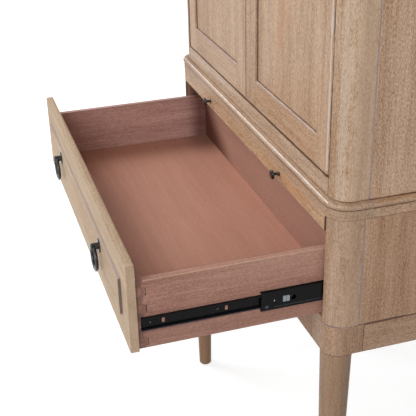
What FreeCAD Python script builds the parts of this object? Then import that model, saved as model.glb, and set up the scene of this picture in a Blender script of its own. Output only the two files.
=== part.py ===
# Bar cabinet on round tapered legs: a lower case with one drawer and a slim pull-out tray,
# a waist moulding, and a two-door upper case. X is to the right, the front faces -Y, the floor is z = 0.
import FreeCAD, Part
import math
import os
import re
import Sketcher

V = FreeCAD.Vector

# Driving sizes in millimetres. Heights run upwards from the floor, depths backwards from a front face.
SIZES = {
    # Cases
    "caseWidth": 804,
    "caseDepth": 406,
    "cornerRadius": 36,
    "legHeight": 556,
    "baseHeight": 53.5,
    "lowerHeight": 189.5,
    "upperHeight": 651,
    "upperSetback": 9,
    "upperCornerRadius": 30,
    "upperFootRound": 2,
    "postWidth": 28,
    "postDepth": 52.5,
    "upperPostWidth": 33,
    "upperPostDepth": 51.5,
    "sideThickness": 18,
    "backThickness": 6,
    "floorThickness": 11,
    "upperFloorThickness": 18,
    "sillHeight": 29.5,
    "headHeight": 40,
    "railThickness": 18,
    "seamEase": 1,
    # Top
    "topThickness": 25,
    "topOverhang": 12,
    "topEdgeRound": 6,
    # Waist
    "bandHeight": 15.5,
    "bandProud": 1,
    "beadDiameter": 9.5,
    "beadProud": 3,
    "mouldingInnerRadius": 8,
    "mouldingReturn": 63,
    # Base
    "baseSetback": 1.8,
    "baseBlockWidth": 63,
    "baseBlockDepth": 61,
    "baseCornerRadius": 27,
    "baseRailThickness": 24,
    "baseRailDrop": 2,
    # Legs
    "legTopRadius": 26,
    "legFootRadius": 15,
    "tenonRadius": 12,
    "tenonLength": 30,
    "glideHeight": 4,
    "glideRadius": 12,
    "glideEase": 1,
    "glidePinRadius": 2.5,
    "glidePinLength": 14,
    "fitClearance": 0.05,
    "boreRelief": 1,
    # Drawer
    "drawerOut": 307.2,
    "frontGap": 1.5,
    "drawerFrontHeight": 149.5,
    "drawerFrontThickness": 13.5,
    "drawerFloorGap": 1.7,
    "fieldRaise": 4,
    "fieldInset": 42.5,
    "fieldEase": 0.6,
    "subFrontThickness": 12,
    "boxSideThickness": 12,
    "boxHeight": 117.5,
    "boxFloorGap": 1,
    "boxDepth": 344.7,
    "bottomThickness": 6,
    "bottomRaise": 18.5,
    "bottomGroove": 5,
    "pinTipWidth": 5,
    "pinRootWidth": 9,
    # Slides
    "slideThickness": 9.5,
    "slideHeight": 40.5,
    "slideMiddleHeight": 34,
    "slideDrawerHeight": 23.3,
    "slideSteel": 1.2,
    "slideRaise": 45.2,
    "slideLength": 339,
    "slideSetback": 6,
    "slideFlange": 6,
    "slideWebGap": 0.9,
    "ballGap": 0.15,
    "cageWidth": 4,
    "outerCageLength": 150,
    "outerCageStart": 160,
    "innerCageLength": 120,
    "innerCageStart": 6,
    "windowMiddle": 44.5,
    "windowLength": 12,
    "windowHeight": 13,
    "stopMiddle": 24.5,
    "slotWidth": 3,
    "slotHeight": 9,
    "screwSlotStart": 14,
    "screwSlotStep": 20,
    "screwRowStep": 103,
    "screwSlotLength": 8,
    "screwHoleWidth": 5,
    # Tray
    "trayFrontHeight": 24.3,
    "trayFrontThickness": 16,
    "trayBoardThickness": 15,
    "trayBoardDepth": 364,
    "tongueDepth": 8,
    "tongueHeight": 5,
    "tongueGap": 0.3,
    "trayKnobRaise": 2.5,
    # Pulls and knobs
    "pullInset": 185.5,
    "pullRaise": 87,
    "plateRadius": 11.7,
    "plateThickness": 2,
    "pullPostRadius": 5.6,
    "pullPostLength": 14.8,
    "pullPostDome": 2.6,
    "pullHoleReach": 9.4,
    "pullHoleRadius": 3.9,
    "ringRadius": 20.6,
    "ringWireRadius": 2.9,
    "knobLength": 14.6,
    "knobBaseRadius": 4.4,
    "knobBaseLength": 1.2,
    "knobNeckRadius": 2.3,
    "knobNeckLength": 6.8,
    "knobHeadRadius": 8.5,
    "knobHeadStart": 11.6,
    "knobHeadRound": 1.8,
    # Doors
    "doorThickness": 20,
    "doorGap": 1.8,
    "meetingGap": 2,
    "doorStile": 50,
    "doorRecess": 4,
    "doorSlope": 2.5,
    "doorEdgeFlat": 0.2,
    "panelThickness": 8,
    "panelLip": 8,
    "panelClearance": 0.3,
    "pivotRadius": 3,
    "pivotDepth": 10,
    "doorKnobInset": 26,
    # Shelf
    "shelfThickness": 18,
    "shelfRaise": 296.5,
    "shelfSetback": 56,
    "shelfBackGap": 5,
    "shelfEndGap": 1.5,
    "shelfPinRadius": 2.5,
    "shelfPinDepth": 8,
    "shelfPinReach": 8,
    "shelfPinInset": 40,
}

# How far the slides' middle members follow the drawer, and how many dovetail tails each drawer side has.
MIDDLE_SHARE = 0.4
TAIL_COUNT = 4

# Places and sizes that follow from the driving ones.
PLACES = {
    "halfWidth": "caseWidth / 2",
    "openingHalf": "halfWidth - postWidth",
    "upperHalf": "halfWidth - upperSetback",
    "doorOpeningHalf": "upperHalf - upperPostWidth",
    "topHalf": "upperHalf + topOverhang",
    "baseHalf": "halfWidth - baseSetback",
    "pullReach": "fieldRaise + pullPostLength",
    "frontY": "(drawerOut + pullReach - caseDepth) / 2",
    "backY": "frontY + caseDepth",
    "innerBackY": "backY - backThickness",
    "postBackY": "frontY + postDepth",
    "upperFrontY": "frontY + upperSetback",
    "upperPostBackY": "upperFrontY + upperPostDepth",
    "upperRailBackY": "upperFrontY + railThickness",
    "baseTop": "legHeight + baseHeight",
    "lowerTop": "baseTop + lowerHeight",
    "waistTop": "lowerTop + bandHeight + beadDiameter",
    "upperTop": "waistTop + upperHeight",
    "cabinetTop": "upperTop + topThickness",
    "lowerFloorTop": "baseTop + floorThickness",
    "sillTop": "waistTop + sillHeight",
    "headBottom": "upperTop - headHeight",
    "mouldingDepth": "cornerRadius - mouldingInnerRadius",
    "beadCentre": "beadDiameter / 2 - beadProud",
    "legX": "baseHalf - baseCornerRadius",
    "frontLegY": "frontY + baseSetback + baseCornerRadius",
    "backLegY": "backY - baseCornerRadius",
    "drawerY": "frontY - drawerOut",
    "drawerFrontHalf": "openingHalf - frontGap",
    "drawerFrontBottom": "lowerFloorTop + drawerFloorGap",
    "drawerFrontTop": "drawerFrontBottom + drawerFrontHeight",
    "boxHalf": "openingHalf - slideThickness",
    "boxInnerHalf": "boxHalf - boxSideThickness",
    "boxFrontY": "drawerY + drawerFrontThickness",
    "boxBackY": "boxFrontY + boxDepth",
    "boxBottom": "lowerFloorTop + boxFloorGap",
    "boxTop": "boxBottom + boxHeight",
    "bottomTop": "boxBottom + bottomRaise + bottomThickness",
    "slideZ": "lowerFloorTop + slideRaise",
    "slideStart": "drawerFrontThickness + slideSetback",
    "caseSlideY": "frontY + slideStart",
    "middleSlideY": "caseSlideY - drawerOut * %g" % MIDDLE_SHARE,
    "drawerSlideY": "drawerY + slideStart",
    "middleWebX": "openingHalf - slideSteel - slideWebGap",
    "trayFrontBottom": "drawerFrontTop + frontGap",
    "trayFrontTop": "trayFrontBottom + trayFrontHeight",
    "trayZ": "(trayFrontBottom + trayFrontTop) / 2",
    "trayBoardY": "frontY + trayFrontThickness",
    "tongueX": "openingHalf - tongueDepth",
    "pullX": "drawerFrontHalf - pullInset",
    "pullZ": "drawerFrontBottom + pullRaise",
    "fieldY": "drawerY - fieldRaise",
    "pullHoleY": "fieldY - pullHoleReach",
    "doorOuterX": "doorOpeningHalf - frontGap",
    "doorInnerX": "meetingGap / 2",
    "doorBottom": "sillTop + doorGap",
    "doorTop": "headBottom - doorGap",
    "doorBackY": "upperFrontY + doorThickness",
    "panelY": "upperFrontY + doorRecess",
    "pivotX": "doorOuterX - doorThickness / 2",
    "pivotY": "upperFrontY + doorThickness / 2",
    "shelfBottom": "sillTop + shelfRaise",
    "shelfFrontY": "upperFrontY + shelfSetback",
    "shelfBackY": "innerBackY - shelfBackGap",
    "shelfPinZ": "shelfBottom - shelfPinRadius - fitClearance",
}

PLANE_ROLES = {"XY": "XY_Plane", "XZ": "XZ_Plane", "YZ": "YZ_Plane"}
AXIS_TURNS = {
    "X": FreeCAD.Rotation(V(0, 1, 0), 90),
    "Y": FreeCAD.Rotation(V(1, 0, 0), -90),
    "Z": FreeCAD.Rotation(),
}
TOLERANCE = 0.02

doc = FreeCAD.newDocument("BarCabinet")
pieces = []


def make_sheet(title, cells):
    sheet = doc.addObject("Spreadsheet::Sheet", title)
    for row, (alias, content) in enumerate(cells.items(), start=1):
        sheet.set("A%d" % row, alias)
        sheet.set("B%d" % row, str(content))
        sheet.setAlias("B%d" % row, alias)
    return sheet


# An expression as written here, with each name given its sheet.
def full(text):
    def qualified(match):
        word = match.group(0)
        if word in SIZES:
            return "Sizes." + word
        return "Places." + word if word in PLACES else word
    return re.sub(r"[A-Za-z]\w*", qualified, text)


def value(text):
    return float(places.evalExpression(full(text)))


def bind(thing, path, text):
    thing.setExpression(path, full(text))


sizes = make_sheet("Sizes", SIZES)
places = make_sheet("Places", {alias: "=" + full(text) for alias, text in PLACES.items()})
doc.recompute()


def keep(thing, label):
    thing.Label = label
    pieces.append(thing)
    return thing


def box(title, x, y, z):
    made = doc.addObject("Part::Box", title)
    for side, axis, (low, high) in zip(("Length", "Width", "Height"), "xyz", (x, y, z)):
        bind(made, side, "(%s) - (%s)" % (high, low))
        bind(made, "Placement.Base." + axis, low)
    return made


# A cylinder from a point, along +X, +Y or +Z.
def cylinder(title, radius, length, at, axis="Z"):
    made = doc.addObject("Part::Cylinder", title)
    made.Placement = FreeCAD.Placement(V(), AXIS_TURNS[axis])
    bind(made, "Radius", radius)
    bind(made, "Height", length)
    for letter, place in zip("xyz", at):
        bind(made, "Placement.Base." + letter, place)
    return made


def united(title, shapes):
    made = doc.addObject("Part::MultiFuse", title)
    made.Shapes = shapes
    return made


def grouped(title, shapes):
    made = doc.addObject("Part::Compound", title)
    made.Links = shapes
    return made


def cut(title, base, tools):
    made = doc.addObject("Part::Cut", title)
    made.Base = base
    made.Tool = tools[0] if len(tools) == 1 else united(title + "_tools", tools)
    return made


def shared(title, base, tool):
    made = doc.addObject("Part::Common", title)
    made.Base = base
    made.Tool = tool
    return made


def mirrored(title, source):
    made = doc.addObject("Part::Mirroring", title)
    made.Source = source
    made.Normal = (1, 0, 0)
    return made


def edge_numbers(thing, chosen):
    doc.recompute()
    return [number for number, edge in enumerate(thing.Shape.Edges, start=1) if chosen(edge)]


# True where a whole edge lies at the given places, such as X="halfWidth".
def lies(edge, **at):
    bounds = edge.BoundBox
    for axis, place in at.items():
        ends = (getattr(bounds, axis + "Min"), getattr(bounds, axis + "Max"))
        if any(abs(end - value(place)) > TOLERANCE for end in ends):
            return False
    return True


def eased(title, source, width, chosen, kind="Chamfer"):
    size = value(width)
    numbers = edge_numbers(source, chosen)
    made = doc.addObject("Part::" + kind, title)
    made.Base = source
    made.Edges = [(number, size, size) for number in numbers]
    return made


def new_body(title):
    return doc.addObject("PartDesign::Body", title)


def arc_between(start, end, bend):
    middle = (start + end) * 0.5
    chord = end - start
    reach = math.sqrt(max(bend * bend - chord.Length ** 2 / 4, 0))
    side = V(-chord.y, chord.x, 0)
    side.normalize()
    centre = middle + side * reach * math.copysign(1, bend)
    first = math.atan2(start.y - centre.y, start.x - centre.x)
    last = math.atan2(end.y - centre.y, end.x - centre.x)
    circle = Part.Circle(centre, V(0, 0, 1), abs(bend))
    if bend > 0:
        return Part.ArcOfCircle(circle, first, last), (1, 2)
    return Part.ArcOfCircle(circle, last, first), (2, 1)


# A sketch through points in expressions. A third entry bends the stretch to the next point into an arc of
# that radius, to the left of the way where it is positive, and every point and radius stays bound.
def outline(body, title, plane, points, offset="0", closed=True):
    sketch = body.newObject("Sketcher::SketchObject", title)
    origin_plane = [each for each in body.Origin.OriginFeatures if each.Role == PLANE_ROLES[plane]][0]
    sketch.AttachmentSupport = [(origin_plane, "")]
    sketch.MapMode = "FlatFace"
    bind(sketch, "AttachmentOffset.Base.z", "-(%s)" % offset if plane == "XZ" else offset)
    spots = [V(value(point[0]), value(point[1]), 0) for point in points]
    count = len(points) if closed else len(points) - 1
    ends = []
    for index in range(count):
        start = spots[index]
        end = spots[(index + 1) % len(spots)]
        if len(points[index]) > 2:
            curve, order = arc_between(start, end, value(points[index][2]))
        else:
            curve, order = Part.LineSegment(start, end), (1, 2)
        sketch.addGeometry(curve, False)
        ends.append(order)
    for index in range(count if closed else count - 1):
        after = (index + 1) % count
        sketch.addConstraint(Sketcher.Constraint("Coincident", index, ends[index][1], after, ends[after][0]))
    for index, spot in enumerate(spots):
        line, end = (index, ends[index][0]) if index < count else (index - 1, ends[index - 1][1])
        across, along = points[index][:2]
        for kind, place, text in (("DistanceX", spot.x, across), ("DistanceY", spot.y, along)):
            number = sketch.addConstraint(Sketcher.Constraint(kind, -1, 1, line, end, place))
            sketch.renameConstraint(number, "%s%d" % (kind, index))
            bind(sketch, "Constraints.%s%d" % (kind, index), text)
        if index < count and len(points[index]) > 2:
            radius = abs(value(points[index][2]))
            number = sketch.addConstraint(Sketcher.Constraint("Radius", index, radius))
            sketch.renameConstraint(number, "Bend%d" % index)
            bind(sketch, "Constraints.Bend%d" % index, "abs(%s)" % points[index][2])
    return sketch


# A straight piece of one section, standing on a plane and running along +X, +Y or +Z.
def prism(title, plane, points, start, length):
    body = new_body(title)
    sketch = outline(body, title + "_outline", plane, points, start)
    pad = body.newObject("PartDesign::Pad", title + "_pad")
    pad.Profile = sketch
    pad.Reversed = plane == "XZ"
    bind(pad, "Length", length)
    return body


# A turned piece: (radius, height) points round its own Z axis.
def turned(title, points, at, turn=None):
    body = new_body(title)
    sketch = outline(body, title + "_profile", "XZ", points)
    spin = body.newObject("PartDesign::Revolution", title + "_turning")
    spin.Profile = sketch
    spin.ReferenceAxis = (sketch, ["V_Axis"])
    spin.Angle = 360
    if turn:
        body.Placement = FreeCAD.Placement(V(), turn)
    for letter, place in zip("xyz", at):
        bind(body, "Placement.Base." + letter, place)
    return body


# A board in plan with its two front corners rounded.
def round_front_block(title, half, front, back, radius, bottom, height):
    corners = [("-(%s)" % half, front), (half, front), (half, back), ("-(%s)" % half, back)]
    body = prism(title, "XY", corners, bottom, height)
    doc.recompute()
    pad = body.Tip
    numbers = edge_numbers(pad, lambda edge: lies(edge, X=half, Y=front)
                           or lies(edge, X="-(%s)" % half, Y=front))
    fillet = body.newObject("PartDesign::Fillet", title + "_corners")
    fillet.Base = (pad, ["Edge%d" % number for number in numbers])
    bind(fillet, "Radius", radius)
    return body


def base_block(title, x_side, front):
    low_y = "frontY + baseSetback" if front else "backY - baseBlockDepth"
    outer_y = low_y if front else "backY"
    block = box(title + "_block", ("baseHalf - baseBlockWidth", "baseHalf"),
                (low_y, "(%s) + baseBlockDepth" % low_y), ("legHeight", "baseTop"))
    rounded = eased(title + "_rounded", block, "baseCornerRadius",
                    lambda edge: lies(edge, X="baseHalf", Y=outer_y), "Fillet")
    leg_y = "frontLegY" if front else "backLegY"
    bore = cylinder(title + "_bore", "tenonRadius + fitClearance", "tenonLength + boreRelief",
                    ("legX", leg_y, "legHeight"))
    made = cut(title + "_bored", rounded, [bore])
    return keep(made if x_side > 0 else mirrored(title + "_mirrored", made), title)


def leg(title, x_side, leg_y):
    points = [("glidePinRadius + fitClearance", "glideHeight"), ("legFootRadius", "glideHeight"),
              ("legTopRadius", "legHeight"), ("tenonRadius", "legHeight"),
              ("tenonRadius", "legHeight + tenonLength"), ("0", "legHeight + tenonLength"),
              ("0", "glideHeight + glidePinLength + boreRelief"),
              ("glidePinRadius + fitClearance", "glideHeight + glidePinLength + boreRelief")]
    at = ("legX * %d" % x_side, leg_y, "0")
    return keep(turned(title, points, at), title)


def glide(title, x_side, leg_y):
    points = [("0", "0"), ("glideRadius - glideEase", "0"), ("glideRadius", "glideEase"),
              ("glideRadius", "glideHeight"), ("glidePinRadius", "glideHeight"),
              ("glidePinRadius", "glideHeight + glidePinLength"), ("0", "glideHeight + glidePinLength")]
    return turned(title, points, ("legX * %d" % x_side, leg_y, "0"))


def make_base():
    glides = []
    for side, x_side in (("right", 1), ("left", -1)):
        for row, leg_y in (("front", "frontLegY"), ("back", "backLegY")):
            base_block("base_block_%s_%s" % (row, side), x_side, row == "front")
            leg("leg_%s_%s" % (row, side), x_side, leg_y)
            glides.append(glide("glide_%s_%s" % (row, side), x_side, leg_y))
    keep(grouped("glides", glides), "leg_glides")
    rail_half = "baseHalf - baseBlockWidth"
    for row, low in (("front", "frontY + baseSetback"), ("back", "backY - baseRailThickness")):
        rail = box("base_rail_%s_board" % row, ("-(%s)" % rail_half, rail_half),
                   (low, "(%s) + baseRailThickness" % low), ("legHeight", "baseTop"))
        face = low if row == "front" else "backY"
        seams = eased("base_rail_%s_eased" % row, rail, "seamEase",
                      lambda edge: lies(edge, X=rail_half, Y=face)
                      or lies(edge, X="-(%s)" % rail_half, Y=face))
        keep(seams, "base_rail_" + row)
    side_rail = box("base_rail_side", ("baseHalf - baseRailThickness", "baseHalf"),
                    ("frontY + baseSetback + baseBlockDepth", "backY - baseBlockDepth"),
                    ("legHeight", "baseTop - baseRailDrop"))
    right = eased("base_rail_side_eased", side_rail, "seamEase",
                  lambda edge: lies(edge, X="baseHalf") and not lies(edge, Z="legHeight"))
    keep(right, "base_rail_right")
    keep(mirrored("base_rail_side_mirrored", right), "base_rail_left")


def keep_pair(right, title):
    keep(right, title + "_right")
    keep(mirrored(title + "_mirrored", right), title + "_left")


# The post's back outer corner, its front inner corner, and the rounded run at its foot and head.
def eased_on_post(edge):
    if lies(edge, X="openingHalf"):
        return edge.BoundBox.YMax < value("frontY + postDepth / 2")
    if lies(edge, Y="postBackY"):
        return lies(edge, X="halfWidth")
    return lies(edge, Z="baseTop") or lies(edge, Z="lowerTop")


def make_lower_case():
    block = round_front_block("lower_case", "halfWidth", "frontY", "backY", "cornerRadius", "baseTop",
                              "lowerHeight")
    keep(box("floor_board", ("-openingHalf", "openingHalf"), ("frontY", "innerBackY"),
             ("baseTop", "lowerFloorTop")), "case_floor")
    post_box = box("lower_post_box", ("openingHalf", "halfWidth"), ("frontY", "postBackY"),
                   ("baseTop", "lowerTop"))
    post = shared("lower_post_shape", post_box, block)
    doc.recompute()
    post = eased("lower_post_eased", post, "seamEase", eased_on_post)
    keep_pair(post, "lower_post")
    panel = box("lower_side_board", ("halfWidth - sideThickness", "halfWidth"), ("postBackY", "backY"),
                ("baseTop", "lowerTop"))
    panel = eased("lower_side_eased", panel, "seamEase",
                  lambda edge: lies(edge, X="halfWidth") and not lies(edge, Y="backY"))
    keep_pair(panel, "lower_side")
    runner = box("runner_plain_board", ("openingHalf", "halfWidth - sideThickness"), ("postBackY", "backY"),
                 ("baseTop", "lowerTop"))
    tongue = box("runner_tongue", ("tongueX", "openingHalf"), ("postBackY", "innerBackY"),
                 ("trayZ - tongueHeight / 2", "trayZ + tongueHeight / 2"))
    keep_pair(united("runner_whole", [runner, tongue]), "runner_board")
    keep(box("back_board", ("-openingHalf", "openingHalf"), ("innerBackY", "backY"),
             ("baseTop", "upperTop")), "back_panel")


def moulding_section(side, reach):
    def across(text):
        return "%s * (%s + (%s))" % (side, reach, text)
    bead = "-beadDiameter / 2" if side == "-1" else "beadDiameter / 2"
    return [(across("-mouldingDepth"), "lowerTop"), (across("bandProud"), "lowerTop"),
            (across("bandProud"), "lowerTop + bandHeight"),
            (across("-beadCentre"), "lowerTop + bandHeight", bead),
            (across("beadProud"), "lowerTop + bandHeight + beadDiameter / 2", bead),
            (across("-beadCentre"), "waistTop"), (across("-mouldingDepth"), "waistTop")]


def make_waist():
    body = new_body("waist_front")
    turn_y = "frontY + cornerRadius"
    end_y = "frontY + mouldingReturn"
    route = [("-halfWidth", end_y), ("-halfWidth", turn_y, "cornerRadius"),
             ("-halfWidth + cornerRadius", "frontY"), ("halfWidth - cornerRadius", "frontY", "cornerRadius"),
             ("halfWidth", turn_y), ("halfWidth", end_y)]
    path = outline(body, "waist_path", "XY", route, closed=False)
    section = outline(body, "waist_section", "XZ", moulding_section("-1", "halfWidth"), end_y)
    sweep = body.newObject("PartDesign::AdditivePipe", "waist_sweep")
    sweep.Profile = section
    sweep.Spine = path
    keep(body, "waist_moulding_front")
    side = prism("waist_side", "XZ", moulding_section("1", "halfWidth"), end_y,
                 "caseDepth - mouldingReturn")
    keep_pair(side, "waist_moulding")
    keep(round_front_block("waist_inner", "halfWidth - mouldingDepth", "frontY + mouldingDepth",
                           "innerBackY", "mouldingInnerRadius", "lowerTop", "waistTop - lowerTop"),
         "waist_board")


def make_upper_case():
    block = round_front_block("upper_case", "upperHalf", "upperFrontY", "backY", "upperCornerRadius",
                              "waistTop", "upperHeight")
    doc.recompute()
    foot = eased("upper_case_foot", block, "upperFootRound",
                 lambda edge: lies(edge, Z="waistTop") and not lies(edge, Y="backY"), "Fillet")
    whole = ("waistTop", "upperTop")
    post_box = box("upper_post_box", ("doorOpeningHalf", "upperHalf"), ("upperFrontY", "upperPostBackY"),
                   whole)
    post = shared("upper_post_shape", post_box, foot)
    post = eased("upper_post_eased", post, "seamEase",
                 lambda edge: lies(edge, X="upperHalf", Y="upperPostBackY")
                 or lies(edge, X="doorOpeningHalf", Y="upperFrontY"))
    keep_pair(post, "upper_post")
    side_box = box("upper_side_box", ("openingHalf", "upperHalf"), ("upperPostBackY", "backY"), whole)
    panel = shared("upper_side_shape", side_box, foot)
    panel = eased("upper_side_eased", panel, "seamEase",
                  lambda edge: lies(edge, X="upperHalf", Y="upperPostBackY"))
    holes = []
    for pin_y in shelf_pin_rows():
        holes.append(cylinder("shelf_bore_%d" % len(holes), "shelfPinRadius + fitClearance",
                              "shelfPinDepth + boreRelief", ("openingHalf", pin_y, "shelfPinZ"), "X"))
    keep_pair(cut("upper_side_bored", panel, holes), "upper_side")
    plan = [("-doorOpeningHalf", "upperRailBackY"), ("doorOpeningHalf", "upperRailBackY"),
            ("doorOpeningHalf", "upperPostBackY"), ("openingHalf", "upperPostBackY"),
            ("openingHalf", "innerBackY"), ("-openingHalf", "innerBackY"),
            ("-openingHalf", "upperPostBackY"), ("-doorOpeningHalf", "upperPostBackY")]
    keep(prism("upper_floor_board", "XY", plan, "sillTop - upperFloorThickness", "upperFloorThickness"),
         "upper_floor")
    across = ("-doorOpeningHalf", "doorOpeningHalf")
    deep = ("upperFrontY", "upperRailBackY")
    sill = shared("sill_shape", box("sill_box", across, deep, ("waistTop", "sillTop")), foot)
    keep(cut("sill_bored", sill, pivot_bores("sill", "sillTop - pivotDepth - boreRelief", 0)), "sill_rail")
    head = box("head_box", across, deep, ("headBottom", "upperTop"))
    keep(cut("head_bored", head, pivot_bores("head", "headBottom", 0)), "head_rail")
    top = round_front_block("top_board", "topHalf", "upperFrontY - topOverhang", "backY",
                            "upperCornerRadius + topOverhang", "upperTop", "topThickness")
    top = eased("top_edge", top, "topEdgeRound",
                lambda edge: lies(edge, Z="cabinetTop") and not lies(edge, Y="backY"), "Fillet")
    keep(top, "cabinet_top")


def pivot_bores(title, bottom, sides):
    bores = []
    for x_side in (1, -1):
        if sides in (0, x_side):
            at = ("pivotX * %d" % x_side, "pivotY", bottom)
            bores.append(cylinder("%s_pivot_bore_%d" % (title, len(bores)), "pivotRadius + fitClearance",
                                  "pivotDepth + boreRelief", at))
    return bores


def shelf_pin_rows():
    return ("shelfFrontY + shelfPinInset", "shelfBackY - shelfPinInset")


def make_shelf():
    keep(box("shelf_board", ("-openingHalf + shelfEndGap", "openingHalf - shelfEndGap"),
             ("shelfFrontY", "shelfBackY"), ("shelfBottom", "shelfBottom + shelfThickness")), "shelf")
    pins = []
    for start in ("openingHalf - shelfPinReach", "-openingHalf - shelfPinDepth"):
        for pin_y in shelf_pin_rows():
            pins.append(cylinder("shelf_pin_%d" % len(pins), "shelfPinRadius",
                                 "shelfPinReach + shelfPinDepth", (start, pin_y, "shelfPinZ"), "X"))
    keep(grouped("pins_of_shelf", pins), "shelf_pins")


def knob(title, x, y, z):
    points = [("0", "0"), ("knobBaseRadius", "0"), ("knobBaseRadius", "knobBaseLength"),
              ("knobNeckRadius", "knobBaseLength + knobNeckLength / 2"),
              ("knobNeckRadius", "knobBaseLength + knobNeckLength"), ("knobHeadRadius", "knobHeadStart"),
              ("knobHeadRadius", "knobLength - knobHeadRound", "knobHeadRound"),
              ("knobHeadRadius - knobHeadRound", "knobLength"), ("0", "knobLength")]
    return turned(title, points, (x, y, z), FreeCAD.Rotation(V(1, 0, 0), 90))


def make_doors():
    deep = ("upperFrontY", "doorBackY")
    outer = box("door_board", ("doorInnerX", "doorOuterX"), deep, ("doorBottom", "doorTop"))
    sight_x = ("doorInnerX + doorStile", "doorOuterX - doorStile")
    sight_z = ("doorBottom + doorStile", "doorTop - doorStile")
    sight = box("door_sight", sight_x, deep, sight_z)
    rebate = box("door_rebate", (sight_x[0] + " - panelLip", sight_x[1] + " + panelLip"),
                 ("panelY", "doorBackY"), (sight_z[0] + " - panelLip", sight_z[1] + " + panelLip"))
    frame = cut("door_frame_open", outer, [sight, rebate])
    frame = eased("door_frame_round", frame, "doorThickness / 2 - doorEdgeFlat",
                  lambda edge: lies(edge, X="doorOuterX", Y="upperFrontY")
                  or lies(edge, X="doorOuterX", Y="doorBackY"), "Fillet")
    frame = eased("door_frame_sloped", frame, "doorSlope",
                  lambda edge: lies(edge, Y="upperFrontY") and inside_sight(edge, sight_x, sight_z))
    bores = pivot_bores("door_low", "doorBottom", 1)
    bores += pivot_bores("door_high", "doorTop - pivotDepth - boreRelief", 1)
    keep_pair(cut("door_frame_bored", frame, bores), "door_frame")
    fit = " + panelLip - panelClearance"
    shrink = " - panelLip + panelClearance"
    panel = box("door_panel_board", (sight_x[0] + shrink, sight_x[1] + fit),
                ("panelY", "panelY + panelThickness"), (sight_z[0] + shrink, sight_z[1] + fit))
    keep_pair(panel, "door_panel")
    door_middle = "(doorBottom + doorTop) / 2"
    keep_pair(knob("door_knob", "doorInnerX + doorKnobInset", "upperFrontY", door_middle), "door_knob")
    pins = []
    for x_side in (1, -1):
        for middle in ("(sillTop + doorBottom) / 2", "(headBottom + doorTop) / 2"):
            length = "pivotDepth * 2 + doorGap"
            pins.append(cylinder("pivot_pin_%d" % len(pins), "pivotRadius", length,
                                 ("pivotX * %d" % x_side, "pivotY", "%s - (%s) / 2" % (middle, length))))
    keep(grouped("pins_of_doors", pins), "pivot_pins")


def inside_sight(edge, sight_x, sight_z):
    centre = edge.BoundBox.Center
    reach = TOLERANCE
    across = value(sight_x[0]) - reach < centre.x < value(sight_x[1]) + reach
    return across and value(sight_z[0]) - reach < centre.z < value(sight_z[1]) + reach


def make_drawer():
    front_z = ("drawerFrontBottom", "drawerFrontTop")
    board = box("drawer_front_board", ("-drawerFrontHalf", "drawerFrontHalf"), ("drawerY", "boxFrontY"),
                front_z)
    field = box("drawer_field", ("-drawerFrontHalf + fieldInset", "drawerFrontHalf - fieldInset"),
                ("fieldY", "drawerY"), ("drawerFrontBottom + fieldInset", "drawerFrontTop - fieldInset"))
    front = united("drawer_front_raised", [board, field])
    front = eased("drawer_front_eased", front, "fieldEase",
                  lambda edge: lies(edge, Y="fieldY") or lies(edge, Y="drawerY") and (
                      lies(edge, X="drawerFrontHalf") or lies(edge, X="-drawerFrontHalf")
                      or lies(edge, Z="drawerFrontTop") or lies(edge, Z="drawerFrontBottom")))
    keep(front, "drawer_front")
    sub_y = ("boxFrontY", "boxFrontY + subFrontThickness")
    box_z = ("boxBottom", "boxTop")
    core = box("sub_front_core", ("-boxInnerHalf", "boxInnerHalf"), sub_y, box_z)
    rows = []
    for number in range(TAIL_COUNT + 1):
        middle = "boxBottom + boxHeight * %d / %d" % (number, TAIL_COUNT)
        pin = [(sub_y[0], middle + " - pinTipWidth / 2"), (sub_y[1], middle + " - pinRootWidth / 2"),
               (sub_y[1], middle + " + pinRootWidth / 2"), (sub_y[0], middle + " + pinTipWidth / 2")]
        rows.append(prism("dovetail_row_%d" % number, "YZ", pin, "-boxHalf", "boxHalf * 2"))
    limits = box("sub_front_limits", ("-boxHalf", "boxHalf"), sub_y, box_z)
    whole = shared("sub_front_whole", united("sub_front_rows", [core] + rows), limits)
    panel_space = box("bottom_space", ("-boxInnerHalf - bottomGroove", "boxInnerHalf + bottomGroove"),
                      ("boxFrontY + subFrontThickness - bottomGroove", "boxBackY"),
                      ("bottomTop - bottomThickness", "bottomTop"))
    keep(cut("sub_front_grooved", whole, [panel_space]), "drawer_subfront")
    side = box("drawer_side_board", ("boxInnerHalf", "boxHalf"), ("boxFrontY", "boxBackY"), box_z)
    keep_pair(cut("drawer_side_cut", side, [whole, panel_space]), "drawer_side")
    keep(box("drawer_back_board", ("-boxInnerHalf", "boxInnerHalf"),
             ("boxBackY - boxSideThickness", "boxBackY"), ("bottomTop", "boxTop")), "drawer_back")
    # The bottom fills the grooves, and stops where the sub-front's pins cross its corners.
    bottom = box("drawer_bottom_board", ("-boxInnerHalf - bottomGroove", "boxInnerHalf + bottomGroove"),
                 ("boxFrontY + subFrontThickness", "boxBackY"), ("bottomTop - bottomThickness", "bottomTop"))
    tongue = box("drawer_bottom_tongue", ("-boxInnerHalf", "boxInnerHalf"),
                 ("boxFrontY + subFrontThickness - bottomGroove", "boxFrontY + subFrontThickness"),
                 ("bottomTop - bottomThickness", "bottomTop"))
    keep(united("drawer_bottom_whole", [bottom, tongue]), "drawer_bottom")


# A steel channel of a slide. Its web stands at x, and its flanges reach out from there, inwards if negative.
def channel(title, web, flange, half, start):
    def out(text):
        return "%s + (%s)" % (web, text)
    steel = "slideSteel" if not flange.startswith("-") else "-slideSteel"
    low, high = "slideZ - " + half, "slideZ + " + half
    inner_low, inner_high = low + " + slideSteel", high + " - slideSteel"
    section = [(web, low), (out(flange), low), (out(flange), inner_low), (out(steel), inner_low),
               (out(steel), inner_high), (out(flange), inner_high), (out(flange), high), (web, high)]
    return prism(title, "XZ", section, start, "slideLength")


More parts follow.
